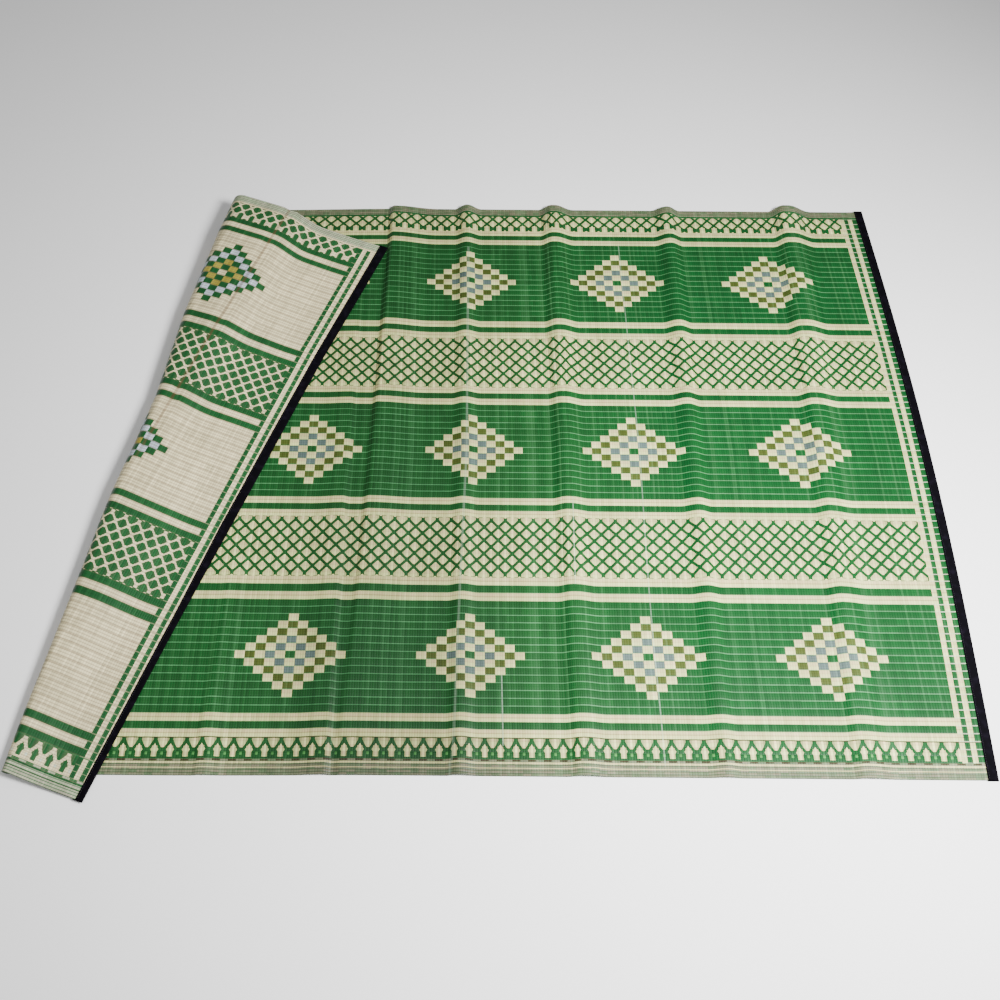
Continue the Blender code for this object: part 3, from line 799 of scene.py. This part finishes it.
def woven_material(side):
    material, tree, shader = new_material(side.name, STRAW_ROUGHNESS, STRAW_SPECULAR)
    group = tree.nodes.new("ShaderNodeGroup")
    group.node_tree = WEAVE_CHART
    group.inputs["Star reach"].default_value = side.star_reach
    tree.links.new(weave_places(tree), group.inputs["Weave"])
    chart = Chart(*(Number(tree, group.outputs[name]) for name in Chart._fields))
    tones = Tones(*(random_tone(tree, chart, scale) for scale in TONE_SCALES))
    tone = weave_tone(side, chart, tones)
    grey = tree.nodes.new("ShaderNodeCombineColor")
    for port in grey.inputs:
        feed(tree, port, tone)
    coloured = coloured_weave(tree, side, chart, tones)
    toned = mix_colours(tree, 1.0, coloured, grey.outputs[0], "MULTIPLY")
    tree.links.new(toned, shader.inputs["Base Color"])
    round_straw = chart.straw_side.arch().by("MAXIMUM", 0.0).by("SQRT")
    pinch = abs(chart.row_side).ease(*PINCH).inverse() * PINCH_DEPTH + (1 - PINCH_DEPTH)
    add_bump(tree, shader, round_straw * pinch, STRAW_BUMP, STRAW_DEPTH)
    return material


# The panel's two faces lie half a thickness off its middle, less at each row of weaving,
# where the warp thread pinches it. It is centred on its CAD solid.
woven_face, woven_reverse = woven_material(FACE), woven_material(REVERSE)
rib_rows = np.linspace(FIRST_ROW, LAST_ROW, (LAST_ROW - FIRST_ROW) * RIB_STEPS + 1)
curves = [RowCurve(float(across_of(row))) for row in rib_rows]
stations = np.array([panel_stations(curve) for curve in curves])
middle_grid = np.array([curve.points(line) for curve, line in zip(curves, stations)])
upwards = grid_normals(middle_grid)
in_groove = (rib_rows % 1 == 0)[:, None, None]
half_thickness = SHEET / 2 - RIB_DEPTH * in_groove
panel_top = middle_grid + upwards * half_thickness
panel_bottom = middle_grid - upwards * half_thickness
shell = np.concatenate([panel_top, panel_bottom]).reshape(-1, 3)
panel_low, panel_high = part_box("mat_panel")
centring = (np.array(panel_low + panel_high) - shell.min(axis=0) - shell.max(axis=0)) / 2
centring[2] = 0.0
straws = np.array([straw_at(line, curve.across) for curve, line in zip(curves, stations)])
measures = np.stack([straws, np.broadcast_to(rib_rows[:, None], stations.shape)], axis=-1)
panel = put_in_scene("woven_panel", sheet_mesh(
    "woven_panel", panel_top + centring, panel_bottom + centring, measures,
    (woven_face, woven_reverse)))
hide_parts("mat_panel")
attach(panel, "root")

# Edge tapes: a strip of black woven tape folded over each cut end, so that the straws
# can't slip out. It is held by one row of stitches near the edge of each of its legs.
TAPE_OVERHANG = 0.0015
TAPE_REACH = SHEET / 2 + TAPE_GAP + TAPE / 2
UPPER_LEG_ACROSS, UPPER_LEG = (0.40, 0.62), (0.0130, 0.0190)
TAPE_STEP = 0.008
TAPE_LEG_POINTS = 4
BESIDE = 0.0015
TAPE_BEND_ANGLES = (-67.5, -45, -22.5, 0, 22.5, 45, 67.5)
TAPE_BLACK, TAPE_SHEEN = colour(8, 7, 11), colour(25, 21, 31)
TAPE_ROUGHNESS, TAPE_SPECULAR = 0.85, 0.06
TAPE_CORD, TAPE_BUMP, TAPE_DEPTH = 0.0011, 0.6, 0.0004
WEAR_SCALE, WORN, WORN_SHARE, RAISED_CORD_HIGHLIGHT = 60.0, (0.45, 0.75), 0.5, 0.2


def cloudy(tree, places, scale):
    """A number that drifts by chance from place to place"""
    noise = tree.nodes.new("ShaderNodeTexNoise")
    noise.inputs["Scale"].default_value = scale
    tree.links.new(places, noise.inputs["Vector"])
    return Number(tree, noise.outputs["Fac"])


def tape_material():
    """Matt black tape of fine cords that pass over and under in turn, a little worn, with a painted
    highlight on its raised cords
    """
    material, tree, shader = new_material("edge_tape", TAPE_ROUGHNESS, TAPE_SPECULAR)
    places = weave_places(tree)
    parts = tree.nodes.new("ShaderNodeSeparateXYZ")
    tree.links.new(places, parts.inputs[0])
    run, width = Number(tree, parts.outputs["X"]), Number(tree, parts.outputs["Y"])
    cord = run / TAPE_CORD
    over = (cord.floor() + (width / (TAPE_CORD * 2)).floor()) % 2.0
    height = abs(cord % 1.0 - 0.5).arch() * (over * 0.5 + 0.5)
    add_bump(tree, shader, height, TAPE_BUMP, TAPE_DEPTH)
    worn = cloudy(tree, places, WEAR_SCALE).ease(*WORN) * WORN_SHARE
    # Worn patches and a painted highlight on the raised cords, mixed towards the sheen colour
    shade = mix_colours(tree, worn + height * RAISED_CORD_HIGHLIGHT, TAPE_BLACK, TAPE_SHEEN)
    tree.links.new(shade, shader.inputs["Base Color"])
    return material


def tape_section(across, under, over, outer):
    """The tape's middle line from its lower leg round the cut end, and the way upwards"""
    curve, end = RowCurve(across), outer(across)
    lower = curve.points(np.linspace(under(across), end, TAPE_LEG_POINTS))
    upper = curve.points(np.linspace(over(across), end, TAPE_LEG_POINTS))
    beside = RowCurve(across + BESIDE).points([end])[0]
    outwards = unit(lower[-1] - lower[-2])
    upwards = unit(np.cross(outwards, beside - lower[-1]))
    upwards = upwards * np.sign(upwards[2])
    section = [lower - TAPE_REACH * upwards]
    for angle in np.radians(TAPE_BEND_ANGLES):
        turned = math.cos(angle) * outwards + math.sin(angle) * upwards
        section.append((lower[-1] + TAPE_REACH * turned)[None, :])
    section.append(upper[::-1] + TAPE_REACH * upwards)
    return np.concatenate(section), upwards


def make_tape(name, node, under, over, outer):
    """A tape of even thickness about its middle line, with its outer face first"""
    places = np.linspace(-TAPE_OVERHANG, WIDTH + TAPE_OVERHANG, int(WIDTH / TAPE_STEP) + 1)
    grid = np.array([tape_section(across, under, over, outer)[0] for across in places])
    away = grid_normals(grid)
    to_first_leg = grid[:, 0].mean(axis=0) - grid[:, -1].mean(axis=0)
    if np.dot(away[:, 0].mean(axis=0), to_first_leg) < 0:
        grid, away = grid[:, ::-1], -away[:, ::-1]
    steps = np.linalg.norm(np.diff(grid, axis=1), axis=-1)
    girth = np.concatenate([np.zeros((len(places), 1)), np.cumsum(steps, axis=1)], axis=1)
    run = np.broadcast_to(places[:, None], girth.shape)
    mesh = sheet_mesh(name, grid + away * TAPE / 2 + centring, grid - away * TAPE / 2 + centring,
                      np.stack([run, girth], axis=-1), (EDGE_TAPE,))
    tape = put_in_scene(name, mesh)
    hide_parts(node)
    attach(tape, "root")
    return tape


def right_inner(across):
    return RIGHT_END - TAPE_WIDTH


def right_outer(across):
    return RIGHT_END - TAPE_INSET


def left_under(across):
    return left_end(across) + TAPE_WIDTH


def left_over(across):
    return left_end(across) + np.interp(across, UPPER_LEG_ACROSS, UPPER_LEG)


def left_outer(across):
    return left_end(across) + TAPE_INSET


EDGE_TAPE = tape_material()
tape_right = make_tape("tape_right", "binding_right", right_inner, right_inner, right_outer)
tape_left = make_tape("tape_left", "binding_left", left_under, left_over, left_outer)


# Stitches: black thread, one row through both legs of each tape, each stitch a short
# raised loop that sinks into the tape at its two ends
STITCH_PITCH, STITCH_LENGTH, STITCH_RADIUS = 0.0046, 0.0034, 0.00038
STITCH_FROM_EDGE = 0.0028
STITCH_SINK = 0.0001
LOOP_SEGMENTS, LOOP_RINGS = 6, 5
THREAD_BLACK, THREAD_ROUGHNESS, THREAD_SPECULAR = colour(24, 19, 29), 0.5, 0.5
PLY_SCALE, PLY_SHEEN = 900.0, (0.4, 0.7)


def stitch_tree():
    """Stitches along a line whose points carry the direction away from the tape"""
    tree = bpy.data.node_groups.new("stitches", "GeometryNodeTree")
    add_sockets(tree, "INPUT", "Geometry", "Line")
    add_sockets(tree, "INPUT", "Float", "Pitch", "Length", "Radius")
    add_sockets(tree, "INPUT", "Material", "Thread")
    add_sockets(tree, "OUTPUT", "Geometry", "Stitches")
    nodes, links = tree.nodes, tree.links
    inlet, outlet = nodes.new("NodeGroupInput"), nodes.new("NodeGroupOutput")
    curve = nodes.new("GeometryNodeMeshToCurve")
    links.new(inlet.outputs["Line"], curve.inputs[0])
    points = nodes.new("GeometryNodeCurveToPoints")
    points.mode = "LENGTH"
    links.new(curve.outputs[0], points.inputs["Curve"])
    links.new(inlet.outputs["Pitch"], points.inputs["Length"])
    loop = nodes.new("GeometryNodeMeshUVSphere")
    loop.inputs["Segments"].default_value = LOOP_SEGMENTS
    loop.inputs["Rings"].default_value = LOOP_RINGS
    loop.inputs["Radius"].default_value = 1.0
    size = nodes.new("ShaderNodeCombineXYZ")
    feed(tree, size.inputs["X"], Number(tree, inlet.outputs["Length"]) * 0.5)
    links.new(inlet.outputs["Radius"], size.inputs["Y"])
    links.new(inlet.outputs["Radius"], size.inputs["Z"])
    shaped = nodes.new("GeometryNodeTransform")
    links.new(loop.outputs["Mesh"], shaped.inputs["Geometry"])
    links.new(size.outputs[0], shaped.inputs["Scale"])
    away = nodes.new("GeometryNodeInputNamedAttribute")
    away.data_type = "FLOAT_VECTOR"
    away.inputs["Name"].default_value = "away"
    stand = nodes.new("FunctionNodeAlignRotationToVector")
    stand.axis = "Z"
    links.new(away.outputs["Attribute"], stand.inputs["Vector"])
    ahead = nodes.new("FunctionNodeAlignRotationToVector")
    ahead.axis = "X"
    ahead.pivot_axis = "Z"
    links.new(stand.outputs[0], ahead.inputs["Rotation"])
    links.new(points.outputs["Tangent"], ahead.inputs["Vector"])
    placed = nodes.new("GeometryNodeInstanceOnPoints")
    links.new(points.outputs["Points"], placed.inputs["Points"])
    links.new(shaped.outputs[0], placed.inputs["Instance"])
    links.new(ahead.outputs[0], placed.inputs["Rotation"])
    real = nodes.new("GeometryNodeRealizeInstances")
    links.new(placed.outputs[0], real.inputs[0])
    soft = nodes.new("GeometryNodeSetShadeSmooth")
    links.new(real.outputs[0], soft.inputs["Geometry"])
    thread = nodes.new("GeometryNodeSetMaterial")
    links.new(soft.outputs[0], thread.inputs["Geometry"])
    links.new(inlet.outputs["Thread"], thread.inputs["Material"])
    links.new(thread.outputs[0], outlet.inputs["Stitches"])
    return tree


def thread_material():
    material, tree, shader = new_material("stitch_thread", THREAD_ROUGHNESS, THREAD_SPECULAR)
    place = tree.nodes.new("ShaderNodeTexCoord")
    ply = cloudy(tree, place.outputs["Object"], PLY_SCALE).ease(*PLY_SHEEN)
    shade = mix_colours(tree, ply, THREAD_BLACK, TAPE_SHEEN)
    tree.links.new(shade, shader.inputs["Base Color"])
    return material


STITCH_TREE, STITCH_THREAD = stitch_tree(), thread_material()


def make_stitches(name, inner, outer):
    """Both rows of one tape, from lines of points along its legs"""
    places = np.arange(STITCH_PITCH, WIDTH - STITCH_PITCH, TAPE_STEP)
    points, directions, edges = [], [], []
    for side in (1, -1):
        for number, across in enumerate(places):
            step_in = math.copysign(STITCH_FROM_EDGE, outer(across) - inner(across))
            leg = RowCurve(across).points([inner(across) + step_in])[0]
            away = tape_section(across, inner, inner, outer)[1] * side
            points.append(leg + away * (TAPE_REACH + TAPE / 2 - STITCH_SINK) + centring)
            directions.append(away)
            if number:
                edges.append((len(points) - 2, len(points) - 1))
    mesh = bpy.data.meshes.new(name)
    mesh.from_pydata([tuple(point) for point in points], edges, [])
    layer = mesh.attributes.new("away", "FLOAT_VECTOR", "POINT")
    layer.data.foreach_set("vector", np.array(directions).ravel())
    stitches = put_in_scene(name, mesh)
    modifier = stitches.modifiers.new("stitches", "NODES")
    modifier.node_group = STITCH_TREE
    socket = {item.name: item.identifier for item in STITCH_TREE.interface.items_tree
              if item.in_out == "INPUT"}
    for label, value in (("Pitch", STITCH_PITCH), ("Length", STITCH_LENGTH),
                         ("Radius", STITCH_RADIUS), ("Thread", STITCH_THREAD)):
        modifier[socket[label]] = value
    graph = bpy.context.evaluated_depsgraph_get()
    sewn = bpy.data.meshes.new_from_object(stitches.evaluated_get(graph), depsgraph=graph)
    stitches.modifiers.remove(modifier)
    stitches.data = sewn
    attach(stitches, "root")
    return stitches


stitches_right = make_stitches("stitches_right", right_inner, right_outer)
stitches_left = make_stitches("stitches_left", left_over, left_outer)


# Floor: one plain pale sheet just under the mat. It is there for the picture only and
# isn't part of the mat.
FLOOR_SIZE, FLOOR_DROP = 12.0, 0.0004
FLOOR_WHITE, FLOOR_ROUGHNESS, FLOOR_SPECULAR = (0.95, 0.95, 0.95, 1.0), 0.8, 0.5
floor_corners = [(FLOOR_SIZE / 2 * x, FLOOR_SIZE / 2 * y, -FLOOR_DROP)
                 for x, y in ((-1, -1), (1, -1), (1, 1), (-1, 1))]
floor_mesh = bpy.data.meshes.new("floor")
floor_mesh.from_pydata(floor_corners, [], [(0, 1, 2, 3)])
floor = put_in_scene("floor", floor_mesh)
floor_paint, _, floor_shader = new_material("floor_paint", FLOOR_ROUGHNESS, FLOOR_SPECULAR)
floor_shader.inputs["Base Color"].default_value = FLOOR_WHITE
floor_mesh.materials.append(floor_paint)

# Light: a key box over the near right with a soft pool of light, a wide box over the near
# left, a weak box behind the right half for the shine on it, and a pale sky
SKY_WHITE, SKY_STRENGTH = (1.0, 1.0, 1.0, 1.0), 0.2
Lamp = namedtuple("Lamp", "name place aim size spread power")
for lamp in (Lamp("key_box", (1.45, -1.05, 2.2), (0.42, -0.30, 0.0), 0.8, 90, 76),
             Lamp("wide_box", (-1.3, -1.5, 3.2), (-0.5, -0.2, 0.0), 2.0, 180, 30),
             Lamp("shine_box", (1.02, 1.5, 3.4), (0.35, -0.4, 0.0), 1.2, 180, 12)):
    light = bpy.data.lights.new(lamp.name, "AREA")
    light.size = lamp.size
    light.spread = math.radians(lamp.spread)
    light.energy = lamp.power
    box = put_in_scene(lamp.name, light)
    box.location = lamp.place
    box.rotation_euler = (Vector(lamp.aim) - Vector(lamp.place)).to_track_quat("-Z", "Y").to_euler()
sky = bpy.data.worlds.new("sky")
sky.use_nodes = True
sky.node_tree.nodes["Background"].inputs["Color"].default_value = SKY_WHITE
sky.node_tree.nodes["Background"].inputs["Strength"].default_value = SKY_STRENGTH
bpy.context.scene.world = sky
